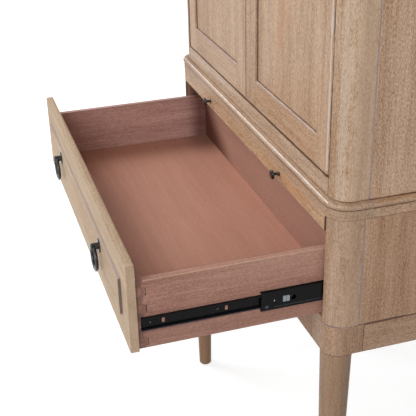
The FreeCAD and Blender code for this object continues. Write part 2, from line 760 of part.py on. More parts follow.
# Openings punched through a web, each by its middle from the member's front end, half length, half height.
def punched(title, member, web, start, openings):
    tools = []
    for number, (middle, half_length, half_height) in enumerate(openings):
        middle_y = "%s + %s" % (start, middle)
        tools.append(box("%s_opening_%d" % (title, number), (web + " - slideSteel", web + " + slideSteel"),
                         ("%s - %s" % (middle_y, half_length), "%s + %s" % (middle_y, half_length)),
                         ("slideZ - " + half_height, "slideZ + " + half_height)))
    return cut(title + "_punched", member, tools)


def on_both_sides(title, right):
    left = [mirrored("%s_%d" % (title, number), member) for number, member in enumerate(right)]
    return keep(grouped(title + "_pair", right + left), title)


def make_slides():
    case = channel("slide_case", "openingHalf", "-slideFlange - slideSteel", "slideHeight / 2",
                   "caseSlideY")
    on_both_sides("slide_case_members", [case])
    middle = channel("slide_middle", "middleWebX", "-slideFlange", "slideMiddleHeight / 2", "middleSlideY")
    window = ("windowMiddle", "windowLength / 2", "windowHeight / 2")
    stop = ("stopMiddle", "slotWidth / 2", "slotHeight / 2")
    on_both_sides("slide_middle_members", [punched("slide_middle", middle, "middleWebX", "middleSlideY",
                                                   [window, stop])])
    inner = channel("slide_drawer", "boxHalf", "slideFlange - slideSteel / 2", "slideDrawerHeight / 2",
                    "drawerSlideY")
    slots = [("screwSlotStart", "screwHoleWidth / 2", "screwHoleWidth / 2"),
             ("screwSlotStart + screwSlotStep / 2", "screwSlotLength / 2", "slotWidth / 2"),
             ("screwSlotStart + screwSlotStep", "slotWidth / 2", "slotHeight / 2"),
             ("screwSlotStart + screwRowStep", "screwHoleWidth / 2", "screwHoleWidth / 2"),
             ("screwSlotStart + screwRowStep + screwSlotStep", "slotWidth / 2", "slotHeight / 2")]
    on_both_sides("slide_drawer_members", [punched("slide_drawer", inner, "boxHalf + slideSteel / 2",
                                                   "drawerSlideY", slots)])
    make_ball_cages()


# Strips that hold the balls, between case and middle member and between middle and drawer member.
def make_ball_cages():
    cages = []
    spaces = (("outer", "slideMiddleHeight / 2", "slideHeight / 2 - slideSteel"),
              ("inner", "slideDrawerHeight / 2", "slideMiddleHeight / 2 - slideSteel"))
    for row, low, high in spaces:
        start = "middleSlideY + %sCageStart" % row
        for number, side in enumerate(("", "-")):
            reach = (low + " + ballGap", high + " - ballGap")
            ends = ["slideZ %s (%s)" % (side or "+", end) for end in reach]
            if side:
                ends.reverse()
            across = ("middleWebX - slideSteel - cageWidth", "middleWebX - slideSteel")
            cages.append(box("slide_cage_%s_%d" % (row, number), across,
                             (start, start + " + %sCageLength" % row), tuple(ends)))
    on_both_sides("slide_ball_cages", cages)


def ring_pull(title):
    dome = "pullPostLength - pullPostDome"
    points = [("0", "0"), ("plateRadius", "0"), ("plateRadius", "plateThickness"),
              ("pullPostRadius", "plateThickness"), ("pullPostRadius", dome, "pullPostDome"),
              ("pullPostRadius - pullPostDome", "pullPostLength"), ("0", "pullPostLength")]
    post = turned(title, points, ("pullX", "fieldY", "pullZ"), FreeCAD.Rotation(V(1, 0, 0), 90))
    bore = cylinder(title + "_bore", "pullHoleRadius", "plateRadius * 2",
                    ("pullX - plateRadius", "pullHoleY", "pullZ"), "X")
    return cut(title + "_bored", post, [bore])


def make_pulls():
    on_both_sides("ring_pull_posts", [ring_pull("ring_pull_post")])
    ring = doc.addObject("Part::Torus", "ring_pull_ring")
    ring.Placement = FreeCAD.Placement(V(), FreeCAD.Rotation(V(1, 0, 0), 90))
    bind(ring, "Radius1", "ringRadius")
    bind(ring, "Radius2", "ringWireRadius")
    bind(ring, "Placement.Base.x", "pullX")
    bind(ring, "Placement.Base.y", "pullHoleY")
    bind(ring, "Placement.Base.z", "pullZ - ringRadius")
    keep_pair(ring, "ring")


def make_tray():
    front = box("tray_front_board", ("-drawerFrontHalf", "drawerFrontHalf"), ("frontY", "trayBoardY"),
                ("trayFrontBottom", "trayFrontTop"))
    front = eased("tray_front_eased", front, "fieldEase", lambda edge: lies(edge, Y="frontY"))
    keep(front, "tray_front")
    board_z = ("trayZ - trayBoardThickness / 2", "trayZ + trayBoardThickness / 2")
    board = box("tray_plain_board", ("-drawerFrontHalf", "drawerFrontHalf"),
                ("trayBoardY", "trayBoardY + trayBoardDepth"), board_z)
    groove_z = ("trayZ - tongueHeight / 2 - tongueGap", "trayZ + tongueHeight / 2 + tongueGap")
    along = ("trayBoardY", "trayBoardY + trayBoardDepth")
    grooves = [box("tray_groove_right", ("tongueX - tongueGap", "drawerFrontHalf"), along, groove_z),
               box("tray_groove_left", ("-drawerFrontHalf", "tongueGap - tongueX"), along, groove_z)]
    keep(cut("tray_grooved", board, grooves), "tray_board")
    on_both_sides("tray_knobs", [knob("tray_knob", "pullX", "frontY", "trayZ + trayKnobRaise")])


make_base()
make_lower_case()
make_waist()
make_upper_case()
make_shelf()
make_doors()
make_drawer()
make_slides()
make_pulls()
make_tray()
doc.recompute()

failed = [each.Name for each in doc.Objects if "Invalid" in each.State or "Error" in each.State]
if failed:
    raise RuntimeError("objects that did not build: " + ", ".join(failed))
for piece in pieces:
    if piece.Shape.isNull() or not piece.Shape.isValid():
        raise RuntimeError("bad shape: " + piece.Label)
os.makedirs("parts", exist_ok=True)
for piece in pieces:
    piece.Shape.exportStep("parts/%s.step" % piece.Label)
    print("%-24s %2d solids %11.1f mm3" % (piece.Label, len(piece.Shape.Solids), piece.Shape.Volume))
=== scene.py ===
import bpy
import bmesh
import math
from mathutils import Matrix, Vector


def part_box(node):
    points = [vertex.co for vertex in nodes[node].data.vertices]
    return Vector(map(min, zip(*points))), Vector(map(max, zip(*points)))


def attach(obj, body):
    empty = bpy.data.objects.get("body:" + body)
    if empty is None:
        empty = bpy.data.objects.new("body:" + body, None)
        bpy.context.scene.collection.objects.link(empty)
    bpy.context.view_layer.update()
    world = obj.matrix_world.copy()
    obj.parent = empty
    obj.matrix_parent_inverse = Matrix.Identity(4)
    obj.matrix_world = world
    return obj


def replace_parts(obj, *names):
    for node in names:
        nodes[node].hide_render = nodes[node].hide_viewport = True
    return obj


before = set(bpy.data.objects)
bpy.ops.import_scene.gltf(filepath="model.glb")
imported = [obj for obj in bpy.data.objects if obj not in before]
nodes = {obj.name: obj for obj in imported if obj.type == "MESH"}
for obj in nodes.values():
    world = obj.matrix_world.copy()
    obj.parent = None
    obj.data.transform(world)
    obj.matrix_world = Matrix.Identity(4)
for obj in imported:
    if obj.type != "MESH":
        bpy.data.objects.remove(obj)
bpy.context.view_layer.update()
print("frame: %d nodes" % len(nodes))


# Small helpers for node trees. An input is a value or another node's output.
def setInputs(tree, node, inputs):
    for key, given in inputs.items():
        if isinstance(given, bpy.types.NodeSocket):
            tree.links.new(given, node.inputs[key])
        else:
            node.inputs[key].default_value = given


def addNode(tree, kind, inputs=None, **settings):
    node = tree.nodes.new(kind)
    for name, setting in settings.items():
        setattr(node, name, setting)
    setInputs(tree, node, inputs or {})
    return node


def compute(tree, operation, *values):
    return addNode(tree, "ShaderNodeMath", dict(enumerate(values)), operation=operation).outputs[0]


# Goes smoothly from lowOut to highOut while the given value goes from low to high.
def fade(tree, given, low, high, lowOut=0.0, highOut=1.0):
    node = addNode(tree, "ShaderNodeMapRange", {"Value": given, "From Min": low, "From Max": high,
                                                "To Min": lowOut, "To Max": highOut},
                   interpolation_type="SMOOTHSTEP")
    return node.outputs["Result"]


def mixColour(tree, factor, first, second, clamped=True):
    node = addNode(tree, "ShaderNodeMix", {0: factor, 6: first, 7: second}, data_type="RGBA", clamp_factor=clamped)
    return node.outputs[2]


def noise(tree, vector, scale, detail, roughness):
    node = addNode(tree, "ShaderNodeTexNoise", {"Vector": vector, "Scale": scale, "Detail": detail,
                                                "Roughness": roughness})
    return node.outputs["Fac"]


# The sockets are given as name and sort. The group's own inputs come back with it.
def newGroup(title, inputs, outputs, kind="Shader"):
    group = bpy.data.node_groups.new(title, kind + "NodeTree")
    for way, sockets in (("INPUT", inputs), ("OUTPUT", outputs)):
        for name, sort in sockets.items():
            group.interface.new_socket(name, in_out=way, socket_type="NodeSocket" + sort)
    return group, group.nodes.new("NodeGroupInput").outputs


def groupNode(tree, group, inputs):
    return addNode(tree, "ShaderNodeGroup", inputs, node_tree=group).outputs


def linear(red, green, blue):
    def channel(given):
        share = given / 255
        return share / 12.92 if share <= 0.04045 else ((share + 0.055) / 1.055) ** 2.4
    return (channel(red), channel(green), channel(blue), 1.0)


# Oak, with the grain along the incoming Z: growth figure, fibre streaks and short open pores. Each layer has its
# scale across and along the grain, its detail, and the low and high value between which it comes in. Cloud, a soft
# darkening, is (scale, detail, roughness), and roughness is (what the fibre adds, the least).
grainLook = {"figure": (11.0, 0.8, 2.0, 0.1, 0.5), "streak": (260.0, 14.0, 4.0, 0.3, 0.7),
             "fibre": (640.0, 230.0, 3.0, 0.32, 0.68), "broad": (30.0, 1.4, 3.0, 0.3, 0.7),
             "pore": (760.0, 200.0, 2.0, 0.60, 0.72), "warm": (9.0, 2.2, 3.0, 0.55, 0.75),
             "layerRoughness": 0.6, "rings": 6.0, "ringFold": 0.5, "cloud": (3.4, 2.0, 0.55),
             "cloudEnds": (0.3, 0.7), "cloudShare": 0.15, "roughness": (0.2, 0.42), "fibreHeight": 0.6,
             "poreHeight": -0.6}


def grainGroup():
    look = grainLook
    group, given = newGroup("woodGrain", {
        "Vector": "Vector", "Light": "Color", "Dark": "Color", "Warm": "Color", "Figure": "Float",
        "Streak": "Float", "Fibre": "Float", "Pores": "Float", "Warmth": "Float"},
        {"Color": "Color", "Roughness": "Float", "Height": "Float"})

    def layer(name):
        across, along, detail = look[name][:3]
        scaled = addNode(group, "ShaderNodeMapping", {"Vector": given["Vector"], "Scale": (across, across, along)})
        return noise(group, scaled.outputs["Vector"], 1.0, detail, look["layerRoughness"])

    def shown(name, found):
        return fade(group, found, *look[name][3:])

    rings = compute(group, "MULTIPLY", layer("figure"), look["rings"])
    rings = compute(group, "PINGPONG", rings, look["ringFold"])
    fibre = layer("fibre")
    pore = shown("pore", layer("pore"))
    cloud = fade(group, noise(group, given["Vector"], *look["cloud"]), *look["cloudEnds"])
    dark = compute(group, "MULTIPLY", shown("figure", rings), given["Figure"])
    for mask, share in ((shown("streak", layer("streak")), given["Streak"]),
                        (shown("broad", layer("broad")), given["Streak"]),
                        (shown("fibre", fibre), given["Fibre"]), (cloud, look["cloudShare"]),
                        (pore, given["Pores"])):
        dark = compute(group, "MULTIPLY_ADD", mask, share, dark)
    colour = mixColour(group, dark, given["Light"], given["Dark"], clamped=False)
    warm = compute(group, "MULTIPLY", shown("warm", layer("warm")), given["Warmth"])
    dents = compute(group, "MULTIPLY", pore, look["poreHeight"])
    addNode(group, "NodeGroupOutput", {
        "Color": mixColour(group, warm, colour, given["Warm"]),
        "Roughness": compute(group, "MULTIPLY_ADD", fibre, *look["roughness"]),
        "Height": compute(group, "MULTIPLY_ADD", fibre, look["fibreHeight"], dents)})
    return group


# A mask that is 1 where a coordinate is near a place. Its width wanders between two shares along the line, after a
# noise of (scale, detail, roughness).
lineLook = {"wander": (45.0, 3.0, 0.55), "wanderEnds": (0.3, 0.7), "widths": (0.6, 1.4), "core": 0.35}


def lineGroup():
    look = lineLook
    group, given = newGroup("lineMask", {"Vector": "Vector", "Coordinate": "Float", "Place": "Float",
                                         "Width": "Float"}, {"Mask": "Float"})
    gap = compute(group, "ABSOLUTE", compute(group, "SUBTRACT", given["Coordinate"], given["Place"]))
    wander = fade(group, noise(group, given["Vector"], *look["wander"]), *look["wanderEnds"], *look["widths"])
    ratio = compute(group, "DIVIDE", gap, compute(group, "MULTIPLY", given["Width"], wander))
    addNode(group, "NodeGroupOutput", {"Mask": fade(group, ratio, look["core"], 1.0, 1.0, 0.0)})
    return group


# How far a point lies outside a rectangle that stands in the XZ plane, the same on the left and the right.
def rimGroup():
    group, given = newGroup("rimDistance", {"Vector": "Vector", "Middle": "Vector", "Half": "Vector"},
                            {"Distance": "Float"})
    place, middle, half = (addNode(group, "ShaderNodeSeparateXYZ", {0: given[name]}).outputs
                           for name in ("Vector", "Middle", "Half"))
    gaps = []
    for axis, at in (("X", compute(group, "ABSOLUTE", place["X"])), ("Z", place["Z"])):
        away = compute(group, "ABSOLUTE", compute(group, "SUBTRACT", at, middle[axis]))
        gaps.append(compute(group, "SUBTRACT", away, half[axis]))
    addNode(group, "NodeGroupOutput", {"Distance": compute(group, "MAXIMUM", *gaps)})
    return group


grain = grainGroup()
lineMask = lineGroup()
rimDistance = rimGroup()

# Finishes: colours as sRGB, then how strongly the figure, streaks, fibres and pores show.
woods = {
    "case": {"light": (222, 194, 166), "dark": (175, 142, 113), "warm": (184, 132, 92), "figure": 0.14,
             "streak": 0.32, "fibre": 0.72, "pores": 0.7, "warmth": 0.6, "bump": 0.22, "specular": 0.3,
             "coat": 0.12, "coatRoughness": 0.22},
    "calm": {"light": (216, 188, 160), "dark": (170, 137, 108), "warm": (184, 132, 92), "figure": 0.12,
             "streak": 0.3, "fibre": 0.42, "pores": 0.4, "warmth": 0.5, "bump": 0.15, "specular": 0.3,
             "coat": 0.12, "coatRoughness": 0.22},
    "ply": {"light": (196, 150, 132), "dark": (158, 112, 98), "warm": (170, 112, 92), "figure": 0.06,
            "streak": 0.12, "fibre": 0.40, "pores": 0.15, "warmth": 0.2, "bump": 0.1, "specular": 0.25,
            "coat": 0.0, "coatRoughness": 0.4},
    "box": {"light": (200, 155, 137), "dark": (156, 110, 96), "warm": (170, 112, 92), "figure": 0.06,
            "streak": 0.34, "fibre": 0.5, "pores": 0.4, "warmth": 0.2, "bump": 0.15, "specular": 0.25,
            "coat": 0.0, "coatRoughness": 0.4},
    "inside": {"light": (186, 152, 124), "dark": (150, 117, 92), "warm": (160, 115, 82), "figure": 0.12,
               "streak": 0.2, "fibre": 0.3, "pores": 0.25, "warmth": 0.2, "bump": 0.2, "specular": 0.25,
               "coat": 0.0, "coatRoughness": 0.4},
}
grainTurns = {"X": (0.0, math.pi / 2, 0.0), "Y": (math.pi / 2, 0.0, 0.0), "Z": (0.0, 0.0, 0.0)}

# Line colours, as sRGB: glaze that stays in seams, painted highlights on edges and rounds, and painted shade and
# shadow in gaps, creases and corners.
lineColours = {"mauve": (160, 148, 154), "brown": (104, 74, 54), "dark": (74, 52, 46), "purple": (112, 84, 88),
          "paintedHighlight": (226, 210, 196), "rub": (212, 180, 154), "wearAndHighlight": (233, 231, 229),
          "shade": (132, 96, 84), "paintedShadow": (70, 27, 14)}

# Each board: its wood, its grain's direction, and its lines as (coordinate, place, width, colour, share), then any
# limits as (coordinate, low, high). Lines are glaze in seams, painted shade and painted highlights. X is the distance
# from the middle, R the distance outside the board's rim, a rectangle, and D the one from the dovetails' joint line.
# Shade is a painted shadow on a far corner or end, as (lean, low, high, share, front, back): it goes out while X plus
# lean times Z goes from low to high, and comes in while Y goes from front to back.
doorRim = ((0.17975, 0.0, 1.14425), (0.12875, 1.0, 0.23895))
doorFace = ("Y", -1.0, -0.029)
fieldRim = ((0.0, 0.0, 0.69695), (0.33, 1.0, 0.03225))
# The brown line at X 0.360 is painted shade in the gap beside the doors.
postLines = [("Y", 0.0205, 0.0013, "mauve", 0.9), ("X", 0.360, 0.0022, "brown", 0.8)]
# Painted highlight on the round corner, and painted light beside it.
cornerHighlight = [("X", 0.3825, 0.0075, "paintedHighlight", 0.24, ("Y", -1.0, -0.012)), ("Y", 0.006, 0.026, "rub", 0.4)]
boards = {
    "base_block": {"axis": "Z", "lines": [("Z", 0.6095, 0.001, "mauve", 0.6), ("Y", 0.0228, 0.0014, "purple", 0.8)]},
    "leg": {"wood": "calm", "axis": "Z", "lines": [("Z", 0.5555, 0.0022, "brown", 0.8)]},
    "base_rail": {"axis": "X", "lines": [("Z", 0.6075, 0.0016, "brown", 0.7), ("X", 0.3372, 0.0026, "brown", 0.75)]},
    # The brown line at Z 0.6075 is painted shade in the shadow gap over the side rails.
    "base_rail_right": {"axis": "Y", "lines": [("Z", 0.6075, 0.0016, "brown", 0.7),
                                               ("Y", 0.0228, 0.001, "dark", 0.7)]},
    "lower_post": {"axis": "Z", "lines": [
        ("Y", 0.0125, 0.0016, "mauve", 0.9), ("Z", 0.6095, 0.0018, "mauve", 0.9),
        # The pale line on the round corner is a painted highlight, the light band beside it painted light, and the
        # dark line by the opening painted shade.
        ("Z", 0.799, 0.0016, "brown", 0.7), ("X", 0.391, 0.0075, "paintedHighlight", 0.08, ("Y", -1.0, -0.02)),
        ("Y", -0.002, 0.026, "rub", 0.3), ("X", 0.374, 0.0013, "dark", 0.65, ("Y", -1.0, -0.034))]},
    # The dark line at Z 0.6095 is painted shade in the shadow gap over the side rail.
    "lower_side": {"axis": "Z", "lines": [("Y", 0.0125, 0.0012, "mauve", 0.9), ("Z", 0.6095, 0.0028, "dark", 0.9),
                                          ("Z", 0.799, 0.0016, "brown", 0.7)]},
    "waist_moulding_front": {"axis": "X", "lines": [
        # The brown lines under the bead and at the upper case's foot are painted shade in these creases.
        ("Z", 0.8145, 0.0010, "brown", 0.5), ("Y", -0.031, 0.0012, "brown", 0.35, ("Z", 0.8225, 1.0)),
        # The pale line along the bead's crest is a painted highlight.
        ("Y", -0.0398, 0.0011, "wearAndHighlight", 1.0, ("X", -1.0, 0.379), ("Z", 0.8222, 1.0)),
        ("Y", 0.023, 0.0012, "mauve", 0.9)]},
    # The brown lines under the bead and at the upper case's foot are painted shade in these creases.
    "waist_moulding": {"axis": "Y", "lines": [("Z", 0.8145, 0.0014, "brown", 0.7), ("X", 0.393, 0.0018, "brown", 0.9),
                                              ("Y", 0.023, 0.0012, "mauve", 0.9)]},
    # The brown lines at Z 0.824 are painted shade where the upper case stands on the moulding.
    "upper_post": {"axis": "Z", "lines": postLines + cornerHighlight + [("Z", 0.824, 0.0018, "brown", 0.8)]},
    "upper_side": {"axis": "Z", "lines": postLines[:1] + [("Z", 0.824, 0.002, "brown", 0.6)]},
    # The brown line at Z 0.8535 is painted shade in the gap under the doors, and the one at Z 0.824 painted shade
    # where the sill stands on the moulding.
    "sill_rail": {"axis": "X", "lines": [("Z", 0.8535, 0.0026, "brown", 0.95), ("Z", 0.824, 0.001, "brown", 0.5),
                                         ("X", 0.360, 0.003, "purple", 0.6)]},
    "head_rail": {"axis": "X"},
    "cabinet_top": {"axis": "X", "dull": True},
    "door_frame": {"axis": "Z", "rim": doorRim, "lines": [
        # The brown line along the bottom is painted shade in the gap over the sill.
        ("Z", 0.8553, 0.0022, "brown", 0.9, doorFace), ("X", 0.001, 0.0022, "purple", 0.8, doorFace),
        # The shade line in the recess is painted shade.
        ("R", 0.0, 0.0009, "dark", 0.75), ("R", 0.0016, 0.0013, "shade", 0.55),
        ("R", 0.0032, 0.0008, "mauve", 0.85, ("X", -1.0, 0.3095)),
        # The dark line at the free edge is painted shade in the gap beside the post, and the pale streak on the round
        # edge a painted highlight.
        ("X", 0.3565, 0.0034, "dark", 0.9, ("Y", -1.0, -0.024)),
        ("X", 0.3504, 0.0034, "paintedHighlight", 0.62, doorFace, ("Z", 0.862, 1.427)),
        ("X", 0.3463, 0.0016, "mauve", 0.3, doorFace)]},
    "door_panel": {"axis": "Z", "rim": doorRim, "lines": [("R", 0.0, 0.0013, "dark", 0.9)]},
    "drawer_front": {"wood": "calm", "axis": "X", "rim": fieldRim, "dull": True, "lines": [
        # The dark line at the field's right end is painted shade on its step.
        ("R", 0.0, 0.0006, "mauve", 0.65), ("X", 0.3302, 0.0021, "dark", 0.6, ("Z", 0.667, 0.7275)),
        # The pale line on the top edge is a painted highlight, and the light band at the right end painted light.
        ("Y", -0.3427, 0.0012, "paintedHighlight", 0.25, ("Z", 0.771, 1.0)), ("X", 0.3725, 0.006, "rub", 0.4),
        ("Y", -0.3345, 0.0028, "shade", 0.3, ("Z", 0.767, 1.0))]},
    # Both lines are painted shade: in the gap under the band and in the gap beside the post.
    "tray_front": {"axis": "X", "lines": [("Z", 0.7732, 0.001, "brown", 0.5), ("X", 0.3725, 0.0026, "dark", 0.95)]},
    "drawer_subfront": {"wood": "box", "axis": "X", "lines": [("X", 0.3645, 0.004, "purple", 0.5)]},
    # The dark line at the side walls is painted shade in the corners, and the shade a painted shadow of the far side
    # wall.
    "drawer_back": {"wood": "ply", "axis": "X", "lines": [("X", 0.3525, 0.0022, "dark", 0.8)],
                    "shade": [(1.6, 0.7700, 0.9080, 0.88, -1.0, -0.9)]},
    # The dark lines along the walls and the front are painted shade, and the shade a painted shadow beside the far
    # side wall, deeper near the back.
    "drawer_bottom": {"wood": "ply", "axis": "X", "lines": [
        ("X", 0.3525, 0.003, "dark", 0.35), ("Y", -0.3217, 0.004, "dark", 0.35)],
        "shade": [(0.0, -0.335, -0.215, 0.26, -1.0, -0.9), (0.0, -0.320, -0.215, 0.40, -0.075, -0.015)]},
    "drawer_side": {"wood": "box", "axis": "Y", "lines": [
        ("D", -0.0045, 0.0055, "brown", 0.42, ("Y", -1.0, -0.3)), ("D", 0.0, 0.0012, "dark", 0.9, ("Y", -1.0, -0.3)),
        # The light line on the outer top edge is a painted highlight.
        ("X", 0.3644, 0.0009, "rub", 0.8, ("Z", 0.7377, 1.0)), ("X", 0.3527, 0.0012, "dark", 0.5, ("Z", 0.7378, 1.0)),
        # The shade band low on the outer face is painted shade under the slide.
        ("Z", 0.626, 0.030, "shade", 0.28, ("X", 0.360, 1.0))]},
}
for name, axis in (("case_floor", "X"), ("waist_board", "X"), ("upper_floor", "X"), ("shelf", "X"),
                   ("tray_board", "X"), ("runner_board", "Y"), ("back_panel", "Z")):
    boards[name] = {"wood": "inside", "axis": axis}
boards["base_rail_left"] = boards["base_rail_right"]
# Painted shadow: the far ends of the waist moulding's front, the tray's front and the sill are a little darker, and
# so are the far post's inner face and the far drawer side near its back.
for name in ("waist_moulding_front", "tray_front", "sill_rail"):
    boards[name]["shade"] = [(0.0, -0.36, -0.2, 0.13, -1.0, -0.9)]
for name, shade in (("lower_post", (0.0, -0.3738, -0.3752, 0.85, -0.045, -0.018)),
                    ("drawer_side", (0.0, -0.34, -0.33, 0.72, -0.050, -0.012))):
    boards[name + "_left"] = dict(boards[name], shade=[shade])

# Dovetails: where the joint line starts, how deep and how far apart the tails are, and where their slopes lie.
dovetails = {"start": -0.3257, "depth": 0.008, "pitch": 0.0294, "slope": (0.2, 0.3)}

# What a board's red, green and blue are multiplied by: partly the board's own tone, and partly painted light and
# shade that makes boards lighter or darker as the light falls on them, such as the darker legs and far leg.
tonesAndLight = {
    "leg": (0.69, 0.63, 0.60), "leg_front_left": (0.64, 0.54, 0.47), "lower_post": (0.89, 0.86, 0.88),
    "lower_side": (0.97, 0.885, 0.865), "base_rail_right": (0.93, 0.89, 0.91), "base_block": (0.88, 0.83, 0.84),
    "base_rail": (0.69, 0.55, 0.38), "upper_side": (1.21, 1.22, 1.3), "upper_post": (1.05, 1.09, 1.12),
    "sill_rail": (1.02, 1.10, 1.20), "waist_moulding": (1.07, 1.06, 1.08), "waist_moulding_front": (0.90, 0.90, 0.92),
    "tray_front": (1.12, 1.13, 1.10),
    "drawer_front": (1.05, 1.14, 1.19), "drawer_side_left": (1.06, 1.20, 1.36), "drawer_bottom": (1.18, 1.13, 1.07),
    "drawer_back": (0.82, 0.86, 0.86), "drawer_side_right": (1.10, 1.14, 1.14)}


def newMaterial(title):
    material = bpy.data.materials.new(title)
    material.use_nodes = True
    tree = material.node_tree
    return material, tree, tree.nodes["Principled BSDF"]


def grainVector(tree, place, axis, shift):
    return addNode(tree, "ShaderNodeMapping", {"Vector": place, "Location": shift,
                                               "Rotation": grainTurns[axis]}).outputs["Vector"]


# The joint line at the drawer side's front steps back and forth with the tails.
def dovetailReach(tree, parts):
    pitch = dovetails["pitch"]
    wave = compute(tree, "PINGPONG", parts["Z"], pitch / 2)
    step = fade(tree, wave, *(pitch * share for share in dovetails["slope"]))
    shifted = compute(tree, "SUBTRACT", parts["Y"], dovetails["start"])
    return compute(tree, "MULTIPLY_ADD", step, -dovetails["depth"], shifted)


# All boards: the bevel that softens edges, the grain's relief, a dull board's share of gloss, and how far the grain
# moves on from one board to the next.
boardLook = {"bevel": 0.0007, "bevelSamples": 4, "relief": 0.0004, "dullGloss": 0.3, "shift": (0.47, 0.71, 0.83)}


def woodMaterial(title, board, toneAndLight, shift):
    look = woods[board.get("wood", "case")]
    dull = board.get("dull", False)
    material, tree, shader = newMaterial(title)
    place = addNode(tree, "ShaderNodeTexCoord").outputs["Object"]
    parts = addNode(tree, "ShaderNodeSeparateXYZ", {0: place}).outputs
    reach = {"X": compute(tree, "ABSOLUTE", parts["X"]), "Y": parts["Y"], "Z": parts["Z"]}
    vector = grainVector(tree, place, board["axis"], shift)
    if "rim" in board:
        middle, half = board["rim"]
        reach["R"] = groupNode(tree, rimDistance, {"Vector": place, "Middle": middle, "Half": half})[0]
    if title.startswith("wood_door_frame"):  # The grain of a door's rails runs across.
        away = compute(tree, "ABSOLUTE", compute(tree, "SUBTRACT", reach["X"], middle[0]))
        rail = compute(tree, "LESS_THAN", away, half[0])
        turned = grainVector(tree, place, "X", shift)
        vector = addNode(tree, "ShaderNodeMix", {0: rail, 4: vector, 5: turned}, data_type="VECTOR").outputs[1]
    if title.startswith("wood_drawer_side"):
        reach["D"] = dovetailReach(tree, parts)
    inputs = {name.capitalize(): look[name] for name in ("figure", "streak", "fibre", "pores", "warmth")}
    for name in ("light", "dark", "warm"):
        inputs[name.capitalize()] = tuple(a * b for a, b in zip(linear(*look[name]), toneAndLight + (1.0,)))
    wooden = groupNode(tree, grain, {"Vector": vector, **inputs})
    colour = wooden["Color"]
    # Lines lay glaze in seams, painted highlights and painted shade.
    for axis, at, width, lineColour, share, *limits in board.get("lines", []):
        line = groupNode(tree, lineMask, {"Vector": place, "Coordinate": reach[axis], "Place": at, "Width": width})
        mask = compute(tree, "MULTIPLY", line[0], share)
        for limit, low, high in limits:
            mask = compute(tree, "MULTIPLY", mask, compute(tree, "GREATER_THAN", reach[limit], low))
            mask = compute(tree, "MULTIPLY", mask, compute(tree, "LESS_THAN", reach[limit], high))
        colour = mixColour(tree, mask, colour, linear(*lineColours[lineColour]))
    # Painted shadow, as the boards' shade entries give it.
    for lean, low, high, share, front, back in board.get("shade", []):
        across = compute(tree, "MULTIPLY_ADD", parts["Z"], lean, parts["X"])
        mask = compute(tree, "MULTIPLY", fade(tree, across, low, high, share, 0.0),
                       fade(tree, parts["Y"], front, back))
        colour = mixColour(tree, mask, colour, linear(*lineColours["paintedShadow"]))
    soft = addNode(tree, "ShaderNodeBevel", {"Radius": boardLook["bevel"]}, samples=boardLook["bevelSamples"])
    bump = addNode(tree, "ShaderNodeBump", {"Strength": look["bump"], "Distance": boardLook["relief"],
                                            "Height": wooden["Height"], "Normal": soft.outputs[0]})
    setInputs(tree, shader, {
        "Base Color": colour, "Roughness": wooden["Roughness"], "Normal": bump.outputs["Normal"],
        "Specular IOR Level": look["specular"] * (boardLook["dullGloss"] if dull else 1.0),
        "Coat Weight": 0.0 if dull else look["coat"], "Coat Roughness": look["coatRoughness"]})
    return material


def setMaterial(thing, material):
    thing.data.materials.clear()
    thing.data.materials.append(material)


def longestStart(name, titles):
    return max((title for title in titles if name.startswith(title)), key=len, default=None)


def finishBoards():
    count = 0
    for name, thing in nodes.items():
        title = longestStart(name, boards)
        if title:
            count += 1
            toneAndLight = tonesAndLight.get(longestStart(name, tonesAndLight), (1.0, 1.0, 1.0))
            shift = tuple(step * count for step in boardLook["shift"])
            setMaterial(thing, woodMaterial("wood_" + name, boards[title], toneAndLight, shift))
    print("woods: %d boards" % count)


finishBoards()

# Metals and plastics, with their colours as sRGB. The scale is the mottling's.
metalLook = {
    "blackSteel": {"colour": (9, 8, 11), "wearAndHighlight": (17, 16, 20), "metallic": 0.0, "specular": 0.05,
                   "roughness": 0.35, "scale": 90.0, "coat": 0.14},
    # Rubbed steel colours the dimples and the thin rods along the slides' lips, which are a painted highlight.
    "rubbedSteel": {"colour": (44, 44, 53), "wearAndHighlight": (54, 55, 66), "metallic": 0.0, "specular": 0.3,
                    "roughness": 0.3, "scale": 200.0, "coat": 0.2},
    "paintedHighlightNylon": {"colour": (160, 167, 174), "wearAndHighlight": (142, 150, 160), "metallic": 0.0, "specular": 0.3,
                  "roughness": 0.45, "scale": 300.0},
    "brightSteel": {"colour": (205, 207, 208), "wearAndHighlight": (170, 172, 175), "metallic": 0.9, "specular": 0.5,
                    "roughness": 0.3, "scale": 60.0},
    "darkBronze": {"colour": (22, 20, 22), "wearAndHighlight": (44, 40, 38), "metallic": 0.3, "specular": 0.45,
                   "roughness": 0.28, "scale": 140.0, "coat": 0.3},
    "glidePlastic": {"colour": (40, 40, 40), "wearAndHighlight": (60, 60, 60), "metallic": 0.0, "specular": 0.4,
                     "roughness": 0.6, "scale": 200.0},
}

# What they share: the mottling, where it shows the worn colour, how far it moves the roughness, and the relief.
mottleLook = {"detail": 4.0, "noiseRoughness": 0.6, "wearAndHighlightEnds": (0.45, 0.75), "roughEnds": (0.2, 0.8),
              "smoother": 0.06, "rougher": 0.1, "coatRoughness": 0.15, "bump": 0.15, "relief": 0.0002}


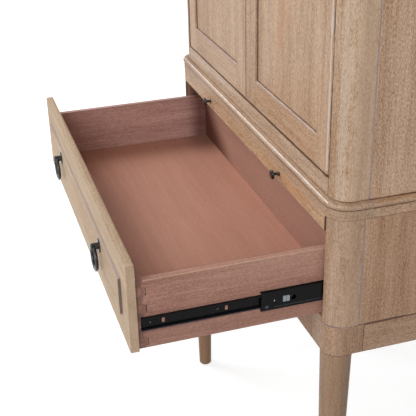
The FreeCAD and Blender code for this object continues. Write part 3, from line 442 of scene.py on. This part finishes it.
def metalMaterial(title):
    look, shared = metalLook[title], mottleLook
    material, tree, shader = newMaterial(title)
    place = addNode(tree, "ShaderNodeTexCoord").outputs["Object"]
    mottle = noise(tree, place, look["scale"], shared["detail"], shared["noiseRoughness"])
    wearAndHighlight = fade(tree, mottle, *shared["wearAndHighlightEnds"])
    bump = addNode(tree, "ShaderNodeBump", {"Strength": shared["bump"], "Distance": shared["relief"],
                                            "Height": mottle})
    setInputs(tree, shader, {
        "Base Color": mixColour(tree, wearAndHighlight, linear(*look["colour"]), linear(*look["wearAndHighlight"])),
        "Roughness": fade(tree, mottle, *shared["roughEnds"], look["roughness"] - shared["smoother"],
                          look["roughness"] + shared["rougher"]),
        "Metallic": look["metallic"], "Specular IOR Level": look["specular"], "Coat Weight": look.get("coat", 0.0),
        "Coat Roughness": shared["coatRoughness"], "Normal": bump.outputs["Normal"]})
    return material


metals = {title: metalMaterial(title) for title in metalLook}
metalNodes = {
    "blackSteel": ["slide_case_members", "slide_middle_members", "slide_drawer_members"],
    "brightSteel": ["slide_ball_cages", "shelf_pins", "pivot_pins"],
    "darkBronze": ["door_knob_right", "door_knob_left", "tray_knobs", "ring_pull_posts", "ring_right", "ring_left"],
    "glidePlastic": ["leg_glides"],
}
for title, names in metalNodes.items():
    for name in names:
        setMaterial(nodes[name], metals[title])
print("metals: %d finishes" % len(metals))


# Mesh helpers. A finished piece has its place in its mesh, its own material and its faces outwards.
meshLook = {"weld": 1e-6, "sharp": 35.0}  # Sharp is in degrees.
sides = ((1, "right"), (-1, "left"))


def newObject(name, data):
    thing = bpy.data.objects.new(name, data)
    bpy.context.scene.collection.objects.link(thing)
    return thing


def shapeObject(name, shape):
    bmesh.ops.recalc_face_normals(shape, faces=shape.faces)
    mesh = bpy.data.meshes.new(name)
    shape.to_mesh(mesh)
    shape.free()
    return newObject(name, mesh)


def keepModified(thing):
    bpy.context.view_layer.update()
    mesh = bpy.data.meshes.new_from_object(thing.evaluated_get(bpy.context.evaluated_depsgraph_get()))
    thing.modifiers.clear()
    mesh.name = thing.name
    thing.data = mesh


def finishPiece(thing, title, body, slotName, sharp=meshLook["sharp"]):
    thing.data.shade_smooth()
    thing.data.set_sharp_from_angle(angle=math.radians(sharp))
    setMaterial(thing, metals[title])
    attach(thing, body)
    return thing


# The arguments after the shape go to finishPiece.
def newPiece(name, shape, *finish):
    bmesh.ops.remove_doubles(shape, verts=shape.verts, dist=meshLook["weld"])
    return finishPiece(shapeObject(name, shape), *finish)


# A turned body. Its outline is a list of (radius, height) along the axis.
def addTurned(shape, outline, base, axis, count=48):
    turn = Vector((0, 0, 1)).rotation_difference(Vector(axis)).to_matrix()
    rings = []
    for radius, height in outline:
        steps = count if radius else 1
        rings.append([shape.verts.new(Vector(base) + turn @ Vector((
            radius * math.cos(2 * math.pi * k / steps), radius * math.sin(2 * math.pi * k / steps), height)))
            for k in range(steps)])
    for below, above in zip(rings, rings[1:]):
        for k in range(count):
            corners = [below[k % len(below)], below[(k + 1) % len(below)], above[(k + 1) % len(above)],
                       above[k % len(above)]]
            shape.faces.new(list(dict.fromkeys(corners)))


# Knobs: a collar on the wood, a thin waist, and a cone that opens to a flat round head.
knobLook = {"outline": [(0.0, -0.0004), (0.0044, -0.0004), (0.0044, 0.0008), (0.0040, 0.0013), (0.0031, 0.0018),
                        (0.0026, 0.0028), (0.0023, 0.0046), (0.0023, 0.0072), (0.0027, 0.0080), (0.0040, 0.0089),
                        (0.0064, 0.0102), (0.0080, 0.0112), (0.0085, 0.0119), (0.0085, 0.0128), (0.0080, 0.0138),
                        (0.0070, 0.0144), (0.0045, 0.0147), (0.0, 0.0148)],
            "trayX": 0.187, "trayY": -0.040, "trayZ": 0.78785, "doorX": 0.027, "doorY": -0.031, "doorZ": 1.14425}


def makeKnobs():
    look = knobLook
    shape = bmesh.new()
    for side in (1, -1):
        addTurned(shape, look["outline"], (side * look["trayX"], look["trayY"], look["trayZ"]), (0, -1, 0))
    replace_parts(newPiece("turned_tray_knobs", shape, "darkBronze", "tray", "dark_bronze"), "tray_knobs")
    for side, word in sides:
        shape = bmesh.new()
        addTurned(shape, look["outline"], (side * look["doorX"], look["doorY"], look["doorZ"]), (0, -1, 0))
        knob = newPiece("turned_door_knob_" + word, shape, "darkBronze", word + "_door", "dark_bronze")
        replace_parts(knob, "door_knob_" + word)
    print("knobs: 4")


# Ring pulls hang through the bores of their posts.
ringLook = {"x": 0.187, "y": -0.3606, "z": 0.6886, "radius": 0.0206, "wire": 0.0029, "around": 96, "across": 20,
            "sharp": 80.0}


def makeRings():
    look = ringLook
    for side, word in sides:
        shape = bmesh.new()
        loops = []
        for k in range(look["around"]):
            turn = 2 * math.pi * k / look["around"]
            loop = []
            for j in range(look["across"]):
                bend = 2 * math.pi * j / look["across"]
                reach = look["radius"] + look["wire"] * math.cos(bend)
                loop.append(shape.verts.new((side * look["x"] + reach * math.sin(turn),
                                             look["y"] + look["wire"] * math.sin(bend),
                                             look["z"] + reach * math.cos(turn))))
            loops.append(loop)
        for k, loop in enumerate(loops):
            following = loops[(k + 1) % len(loops)]
            for j in range(look["across"]):
                after = (j + 1) % look["across"]
                shape.faces.new((loop[j], loop[after], following[after], following[j]))
        ring = newPiece("round_ring_" + word, shape, "darkBronze", word + "_ring", "dark_bronze", look["sharp"])
        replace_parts(ring, "ring_" + word)
    print("ring pulls: 2")


# Slide members are channels of bent sheet. Their section is a path of (x, z) from lip to lip. Holes and clips are
# (y, width, height), dimples (y, z, radius) and highlight rods (x, z, start, end): thin rods of lighter steel along
# the lips that are a painted highlight. A dimple's outline is in radii.
slideLook = {
    "z": 0.6657, "sheet": 0.0012, "bend": 0.0021, "sharp": 50.0,
    "drawer": {"path": [(0.36915, 0.0090), (0.36930, 0.01105), (0.3651, 0.01105), (0.3651, -0.01105),
                        (0.36930, -0.01105), (0.36915, -0.0090)], "y": (-0.3277, 0.0113),
               "holes": [(-0.3137, 0.0028, 0.0028), (-0.2935, 0.0052, 0.0092), (-0.2085, 0.0030, 0.0030),
                         (-0.1943, 0.0052, 0.0092), (-0.0890, 0.0052, 0.0092), (-0.0090, 0.0052, 0.0092)],
               "x": 0.3651, "highlightRod": (0.36965, -0.0098, -0.3275, 0.0110)},
    "middle": {"path": [(0.3662, 0.0146), (0.3662, 0.0164), (0.3713, 0.0164), (0.3713, -0.0164),
                        (0.3662, -0.0164), (0.3662, -0.0146)], "y": (-0.1400, 0.1956),
               "holes": [(-0.0989, 0.0120, 0.0115), (-0.1189, 0.0030, 0.0080), (-0.0868, 0.0078, 0.0090),
                         (0.1500, 0.0052, 0.0092)],
               "x": 0.3713, "highlightRod": (0.37165, -0.0112, -0.1200, 0.1950)},
    "holeReach": 0.003, "slotPoints": 24, "wideHole": 0.011, "wideCorner": 0.0012,
    # The third, smallest clip is a pale spot in the small slot: the nylon behind it and a painted glint.
    "clips": [(-0.1018, 0.0052, 0.0102), (-0.0960, 0.0052, 0.0102), (-0.1187, 0.0017, 0.0036)],
    "clipThick": 0.0012, "clipCorner": 0.0008, "dimples": [(-0.1310, -0.0092, 0.0030)], "dimpleCount": 24,
    "dimple": [(0.0, -0.0005), (1.0, -0.0005), (1.0, 0.0001), (0.75, 0.0006), (0.4, 0.0008), (0.0, 0.00085)],
    "highlightRodRadius": 0.0005, "highlightRodCount": 12,
}
slideBodies = (("drawer", "drawer"), ("middle", "slide_middle"))


# The sheet's outline around a path with rounded corners. A bend takes at most the given share of a side.
def sectionOf(path, bend, sheet, steps=5, most=0.49):
    points = [Vector(place) for place in path]
    line = [points[0]]
    for before, corner, after in zip(points, points[1:], points[2:]):
        reach = min(bend, (before - corner).length * most, (after - corner).length * most)
        start = corner + (before - corner).normalized() * reach
        end = corner + (after - corner).normalized() * reach
        for k in range(steps + 1):
            share = k / steps
            line.append(start * (1 - share) ** 2 + corner * 2 * share * (1 - share) + end * share ** 2)
    line.append(points[-1])
    outer, inner = [], []
    for k, place in enumerate(line):
        along = (line[min(k + 1, len(line) - 1)] - line[max(k - 1, 0)]).normalized()
        across = Vector((-along.y, along.x)) * sheet / 2
        outer.append(place + across)
        inner.append(place - across)
    return outer + inner[::-1]


def addPrism(shape, ends):
    first, second = ([shape.verts.new(place) for place in end] for end in ends)
    shape.faces.new(first)
    shape.faces.new(second[::-1])
    for k in range(len(first)):
        after = (k + 1) % len(first)
        shape.faces.new((first[k], first[after], second[after], second[k]))


# A slot through the sheet, with round ends or with corners of the given radius.
def addSlot(shape, side, x, y, width, height, reach, corner=None):
    radius = corner or min(width, height) / 2
    count = slideLook["slotPoints"]
    outline = []
    for k in range(count):
        turn = 2 * math.pi * (k + 0.5) / count
        outline.append((y + math.copysign(width / 2 - radius, math.cos(turn)) + radius * math.cos(turn),
                        slideLook["z"] + math.copysign(height / 2 - radius, math.sin(turn))
                        + radius * math.sin(turn)))
    addPrism(shape, [[(side * (x + shift), across, up) for across, up in outline] for shift in (-reach, reach)])


def cutHoles(thing, shape):
    cutter = shapeObject("cutter", shape)
    modifier = thing.modifiers.new("holes", "BOOLEAN")
    modifier.operation = "DIFFERENCE"
    modifier.solver = "EXACT"
    modifier.object = cutter
    keepModified(thing)
    bpy.data.objects.remove(cutter)


def makeSlides():
    look = slideLook
    for part, body in slideBodies:
        member = look[part]
        section = sectionOf(member["path"], look["bend"], look["sheet"])
        shape, holes = bmesh.new(), bmesh.new()
        for side in (1, -1):
            addPrism(shape, [[(side * x, y, look["z"] + z) for x, z in section] for y in member["y"]])
            for y, width, height in member["holes"]:
                corner = look["wideCorner"] if width > look["wideHole"] else None
                addSlot(holes, side, member["x"], y, width, height, look["holeReach"], corner)
        channel = newPiece("bent_slide_" + part, shape, "blackSteel", body, "black_steel", look["sharp"])
        cutHoles(channel, holes)
        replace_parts(channel, "slide_%s_members" % part)
    clips, dimples = bmesh.new(), bmesh.new()
    middleX = look["middle"]["x"]
    for side in (1, -1):
        for y, width, height in look["clips"]:
            addSlot(clips, side, middleX, y, width, height, look["clipThick"] / 2, look["clipCorner"])
        for y, z, radius in look["dimples"]:
            addTurned(dimples, [(radius * share, height) for share, height in look["dimple"]],
                      (side * (middleX + look["sheet"] / 2), y, look["z"] + z), (side, 0, 0), look["dimpleCount"])
    newPiece("slide_clips", clips, "paintedHighlightNylon", "slide_middle", "glide_plastic")
    newPiece("slide_dimples", dimples, "rubbedSteel", "slide_middle", "black_steel")
    # Thin rods of lighter steel along the lips: a painted highlight.
    for part, body in slideBodies:
        highlightRod = bmesh.new()
        x, z, start, end = look[part]["highlightRod"]
        radius, length = look["highlightRodRadius"], end - start
        for side in (1, -1):
            addTurned(highlightRod, [(0.0, 0.0), (radius, 0.0), (radius, length), (0.0, length)],
                      (side * x, start, look["z"] + z), (0, 1, 0), look["highlightRodCount"])
        newPiece("slide_highlight_rods_" + part, highlightRod, "rubbedSteel", body, "black_steel")
    print("slides: drawer and middle members, clips and dimples")


# Screws: one head with a cross recess on every point, spun at random about its own axis. The cross's arms are given
# as shares of the head's radius and height.
screwLook = {"seed": 11, "segments": 24, "rings": 12, "armLength": 1.15, "armHeight": 1.2, "armLift": 1.05,
             "slides": {"radius": 0.0031, "height": 0.0014, "recess": 0.0008, "x": 0.3657,
                        "places": (-0.3056, -0.0990, -0.0190)},
             "back": {"radius": 0.0026, "height": 0.0005, "recess": 0.0008, "edge": 0.008, "columns": 5, "rows": 8}}


def screwTree():
    look = screwLook
    tree, given = newGroup("screwHeads", {
        "Geometry": "Geometry", "Head Radius": "Float", "Head Height": "Float", "Recess Width": "Float",
        "Seed": "Int", "Finish": "Material"}, {"Geometry": "Geometry"}, "Geometry")

    def threeSizes(sizes):
        return addNode(tree, "ShaderNodeCombineXYZ", sizes).outputs[0]

    ball = addNode(tree, "GeometryNodeMeshUVSphere", {"Segments": look["segments"], "Rings": look["rings"],
                                                      "Radius": 1.0}).outputs["Mesh"]
    size = threeSizes({0: given["Head Radius"], 1: given["Head Radius"], 2: given["Head Height"]})
    head = addNode(tree, "GeometryNodeTransform", {"Geometry": ball, "Scale": size}).outputs["Geometry"]
    long = compute(tree, "MULTIPLY", given["Head Radius"], look["armLength"])
    tall = compute(tree, "MULTIPLY", given["Head Height"], look["armHeight"])
    lift = threeSizes({2: compute(tree, "MULTIPLY", given["Head Height"], look["armLift"])})
    arms = addNode(tree, "GeometryNodeJoinGeometry")
    for order in (0, 1):
        size = threeSizes({order: long, 1 - order: given["Recess Width"], 2: tall})
        box = addNode(tree, "GeometryNodeMeshCube", {"Size": size})
        arm = addNode(tree, "GeometryNodeTransform", {"Geometry": box.outputs["Mesh"], "Translation": lift})
        tree.links.new(arm.outputs["Geometry"], arms.inputs[0])
    cut = addNode(tree, "GeometryNodeMeshBoolean", {"Mesh 1": head, "Mesh 2": arms.outputs[0]},
                  operation="DIFFERENCE")
    aim = addNode(tree, "GeometryNodeInputNamedAttribute", {"Name": "aim"}, data_type="FLOAT_VECTOR").outputs[0]
    faced = addNode(tree, "FunctionNodeAlignRotationToVector", {"Vector": aim}, axis="Z").outputs[0]
    spin = addNode(tree, "FunctionNodeRandomValue", {"Seed": given["Seed"]}, data_type="FLOAT")
    angle = compute(tree, "MULTIPLY", spin.outputs[1], 2 * math.pi)
    about = addNode(tree, "FunctionNodeAxisAngleToRotation", {"Axis": (0, 0, 1), "Angle": angle}).outputs[0]
    turned = addNode(tree, "FunctionNodeRotateRotation", {"Rotation": faced, "Rotate By": about},
                     rotation_space="LOCAL").outputs[0]
    placed = addNode(tree, "GeometryNodeInstanceOnPoints", {"Points": given["Geometry"], "Instance": cut.outputs[0],
                                                            "Rotation": turned}).outputs[0]
    plain = addNode(tree, "GeometryNodeRealizeInstances", {"Geometry": placed}).outputs[0]
    done = addNode(tree, "GeometryNodeSetMaterial", {"Geometry": plain, "Material": given["Finish"]}).outputs[0]
    addNode(tree, "NodeGroupOutput", {"Geometry": done})
    return tree


def makeScrews(name, places, look, title, body, slotName):
    mesh = bpy.data.meshes.new(name)
    mesh.from_pydata([place for place, aim in places], [], [])
    aims = mesh.attributes.new("aim", "FLOAT_VECTOR", "POINT")
    for point, (place, aim) in zip(aims.data, places):
        point.vector = aim
    thing = newObject(name, mesh)
    modifier = thing.modifiers.new("screws", "NODES")
    modifier.node_group = screws
    chosen = {"Head Radius": look["radius"], "Head Height": look["height"], "Recess Width": look["recess"],
              "Seed": screwLook["seed"], "Finish": metals[title]}
    for socket in screws.interface.items_tree:
        if socket.in_out == "INPUT" and socket.name in chosen:
            modifier[socket.identifier] = chosen[socket.name]
    keepModified(thing)
    finishPiece(thing, title, body, slotName)
    print("%s: %d heads, %d faces" % (name, len(places), len(thing.data.polygons)))


def spread(low, high, edge, count):
    return [low + edge + (high - low - 2 * edge) * k / (count - 1) for k in range(count)]


def placeScrews():
    look = screwLook["slides"]
    onSlides = [((side * look["x"], y, slideLook["z"]), (side, 0.0, 0.0)) for side in (1, -1)
                for y in look["places"]]
    makeScrews("slide_screws", onSlides, look, "blackSteel", "drawer", "black_steel")
    look = screwLook["back"]
    low, high = (Vector(corner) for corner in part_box("back_panel"))
    columns = spread(low.x, high.x, look["edge"], look["columns"])
    rows = spread(low.z, high.z, look["edge"], look["rows"])
    onBack = [((x, high.y, z), (0.0, 1.0, 0.0)) for x in columns for z in rows
              if x in (columns[0], columns[-1]) or z in (rows[0], rows[-1])]
    makeScrews("back_screws", onBack, look, "brightSteel", "case", "bright_steel")


makeKnobs()
makeRings()
makeSlides()
screws = screwTree()
placeScrews()


# The floor and the surroundings are white to the camera and in reflections, and the floor keeps the shadow.
stageLook = {"floorSize": 30.0, "ambient": 0.17, "floorColour": (0.35, 0.35, 0.35, 1.0), "floorGlow": 0.71,
             "floorShare": 0.45, "nearReach": 0.7, "farReach": 2.2}


def clearTree(owner):
    owner.use_nodes = True
    owner.node_tree.nodes.clear()
    return owner.node_tree


# 1 for rays that come from the camera, a mirror or a glass, and 0 for the light on the object.
def seenRays(tree):
    rays = addNode(tree, "ShaderNodeLightPath").outputs
    seen = compute(tree, "MAXIMUM", rays["Is Camera Ray"], rays["Is Glossy Ray"])
    return compute(tree, "MAXIMUM", seen, rays["Is Transmission Ray"])


def makeFloor():
    look = stageLook
    half = look["floorSize"] / 2
    mesh = bpy.data.meshes.new("floor")
    mesh.from_pydata([(-half, -half, 0), (half, -half, 0), (half, half, 0), (-half, half, 0)], [], [(0, 1, 2, 3)])
    floor = newObject("floor", mesh)
    material = bpy.data.materials.new("paintedHighlightFloor")
    tree = clearTree(material)
    lit = addNode(tree, "ShaderNodeBsdfDiffuse", {"Color": look["floorColour"]}).outputs[0]
    place = addNode(tree, "ShaderNodeTexCoord").outputs["Object"]
    away = addNode(tree, "ShaderNodeVectorMath", {0: place}, operation="LENGTH").outputs["Value"]
    glowing = fade(tree, away, look["nearReach"], look["farReach"], look["floorGlow"], 1.0)
    share = look["floorShare"]
    dim = addNode(tree, "ShaderNodeBsdfDiffuse", {"Color": (share, share, share, 1.0)}).outputs[0]
    glow = addNode(tree, "ShaderNodeEmission", {"Strength": glowing}).outputs[0]
    bright = addNode(tree, "ShaderNodeAddShader", {0: dim, 1: glow}).outputs[0]
    mixed = addNode(tree, "ShaderNodeMixShader", {0: seenRays(tree), 1: lit, 2: bright}).outputs[0]
    addNode(tree, "ShaderNodeOutputMaterial", {"Surface": mixed})
    mesh.materials.append(material)


def makeWorld():
    world = bpy.data.worlds.new("surroundings")
    bpy.context.scene.world = world
    tree = clearTree(world)
    seen = seenRays(tree)
    strength = fade(tree, seen, 0.0, 1.0, stageLook["ambient"], 1.0)
    background = addNode(tree, "ShaderNodeBackground", {"Color": (1, 1, 1, 1), "Strength": strength})
    addNode(tree, "ShaderNodeOutputWorld", {"Surface": background.outputs[0]})


# Lamps aim at one point. Sizes are in metres, the spin about the beam in degrees, and the power in watts.
lampAim = (0.0, -0.1, 0.8)
lampLook = {
    "key": {"at": (-1.7, -1.45, 2.4), "size": (1.1, 1.1), "spin": 0.0, "power": 34.0},
    "left": {"at": (-2.7, -1.15, 1.9), "size": (0.3, 2.1), "spin": 45.0, "power": 12.0},
    "front": {"at": (0.55, -2.5, 1.3), "size": (0.5, 2.0), "spin": 0.0, "power": 10.5},
    "fill": {"at": (2.6, -2.2, 2.4), "size": (2.2, 2.2), "spin": 0.0, "power": 60.0},
    "wide": {"at": (3.4, -1.1, 2.3), "size": (2.0, 2.0), "spin": 0.0, "power": 25.0},
    "back": {"at": (-1.3, 3.4, 1.1), "size": (1.8, 1.8), "spin": 0.0, "power": 34.0},
}


def makeLamps():
    for title, look in lampLook.items():
        data = bpy.data.lights.new(title, "AREA")
        data.shape = "RECTANGLE"
        data.size, data.size_y = look["size"]
        data.energy = look["power"]
        aim = Vector(lampAim) - Vector(look["at"])
        turn = aim.to_track_quat("-Z", "Y").to_matrix().to_4x4()
        spin = Matrix.Rotation(math.radians(look["spin"]), 4, "Z")
        newObject(title, data).matrix_world = Matrix.Translation(look["at"]) @ turn @ spin


# The camera comes from a fit to the photograph's edges. Angles are in degrees.
cameraLook = {"at": (1.4524, -0.5515, 1.4166), "azimuth": 73.025, "elevation": 26.919, "roll": -1.378,
              "lens": 77.55, "sensor": 36.0, "near": 0.05}


def makeCamera():
    look = cameraLook
    azimuth, elevation, roll = (math.radians(look[key]) for key in ("azimuth", "elevation", "roll"))
    back = Vector((math.sin(azimuth) * math.cos(elevation), -math.cos(azimuth) * math.cos(elevation),
                   math.sin(elevation)))
    level = (-back).cross(Vector((0, 0, 1))).normalized()
    upright = level.cross(-back)
    right = math.cos(roll) * level + math.sin(roll) * upright
    up = math.cos(roll) * upright - math.sin(roll) * level
    data = bpy.data.cameras.new("camera")
    data.sensor_width = look["sensor"]
    data.lens = look["lens"]
    data.clip_start = look["near"]
    camera = newObject("camera", data)
    turn = Matrix((right, up, back)).transposed()
    camera.matrix_world = Matrix.Translation(look["at"]) @ turn.to_4x4()
    bpy.context.scene.camera = camera


makeFloor()
makeWorld()
makeLamps()
makeCamera()
bpy.context.scene.view_settings.view_transform = "Standard"
print("stage: floor, world, lamps and camera")
